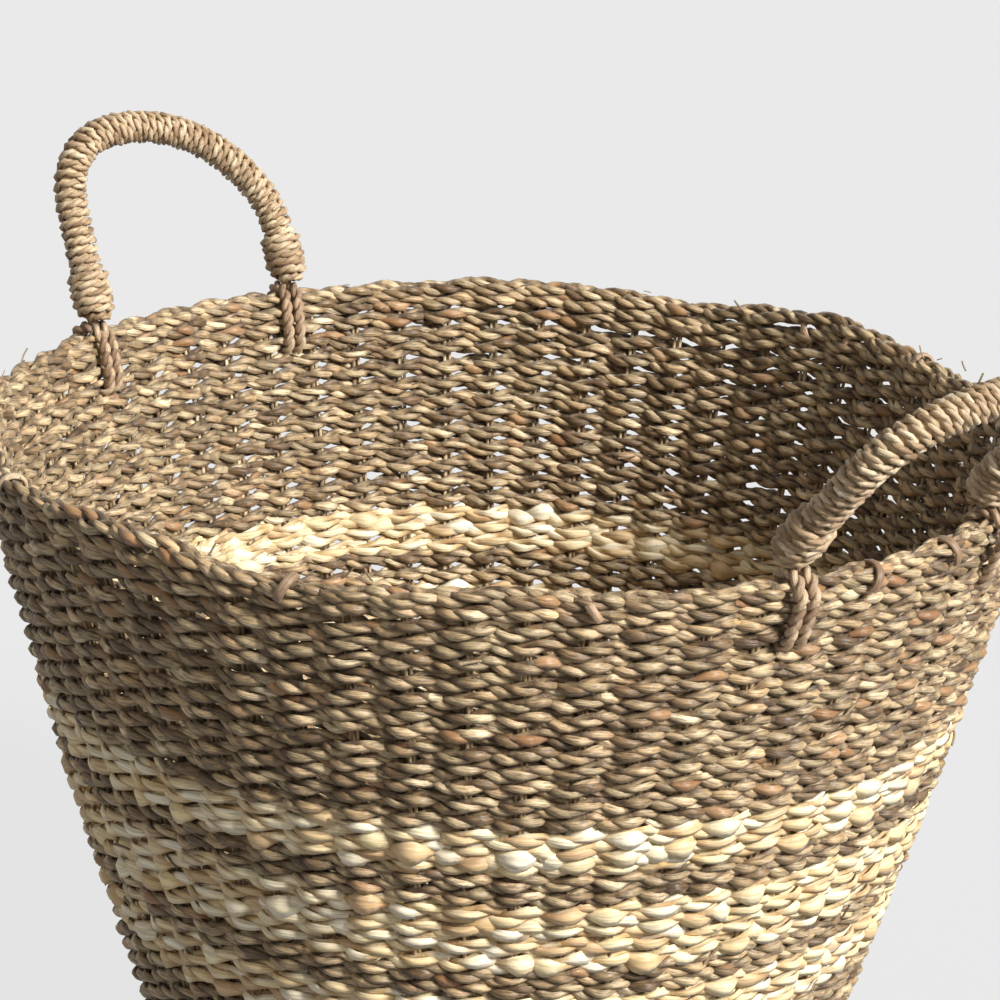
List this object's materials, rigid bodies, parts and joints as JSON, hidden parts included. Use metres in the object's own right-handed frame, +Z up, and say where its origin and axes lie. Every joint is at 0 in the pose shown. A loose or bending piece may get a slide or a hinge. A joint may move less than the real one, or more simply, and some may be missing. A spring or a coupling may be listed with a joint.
{
  "type": "woven storage basket",
  "caption": "Tapered round seagrass basket, twined with pale leaf bands, open top, two cord-wrapped hoop handles tied to the rim.",
  "frame": {"origin": "middle of the flat underside", "axes": "+Z up out of the mouth; +X towards the right handle, -X towards the left handle"},
  "size_m": [0.4799, 0.421, 0.3854],
  "materials": {
    "seagrass": "twisted seagrass cord, low sheen",
    "pale_leaf": "flat pale leaf strips, smooth",
    "rim_cord": "plaited seagrass border",
    "stake_grass": "bundled grass strands",
    "handle_straw": "pale straw cord, tightly wound",
    "tie_cord": "two-ply twisted cord",
    "core_rope": "rough grass rope"
  },
  "bodies": {
    "basket": {"rim_border": "rim_cord", "wall_stakes": "stake_grass", "base_centre": "seagrass", "base_rows": "seagrass", "base_spokes": "stake_grass", "foot_row": "seagrass", "upper_wall_rows": "seagrass", "pale_band_upper": "pale_leaf", "brown_band_upper": "seagrass", "pale_band_middle": "pale_leaf", "brown_band_lower": "seagrass", "pale_band_lower": "pale_leaf", "lower_wall_rows": "seagrass", "right_handle_front_tie": "tie_cord", "right_handle_back_tie": "tie_cord", "left_handle_front_tie": "tie_cord", "left_handle_back_tie": "tie_cord"},
    "right_handle": {"right_handle_core": "core_rope", "right_handle_wrap": "handle_straw", "right_handle_front_binding": "handle_straw", "right_handle_back_binding": "handle_straw"},
    "left_handle": {"left_handle_core": "core_rope", "left_handle_wrap": "handle_straw", "left_handle_front_binding": "handle_straw", "left_handle_back_binding": "handle_straw"}
  },
  "joints": [
    {"name": "right_handle_swing", "type": "hinge", "parent": "basket", "child": "right_handle", "pos_m": [0.19801, 0, 0.313], "axis": [0, 1, 0], "range_deg": [-130, 50]},
    {"name": "left_handle_swing", "type": "hinge", "parent": "basket", "child": "left_handle", "pos_m": [-0.19801, 0, 0.313], "axis": [0, -1, 0], "range_deg": [-110, 70]}
  ]
}
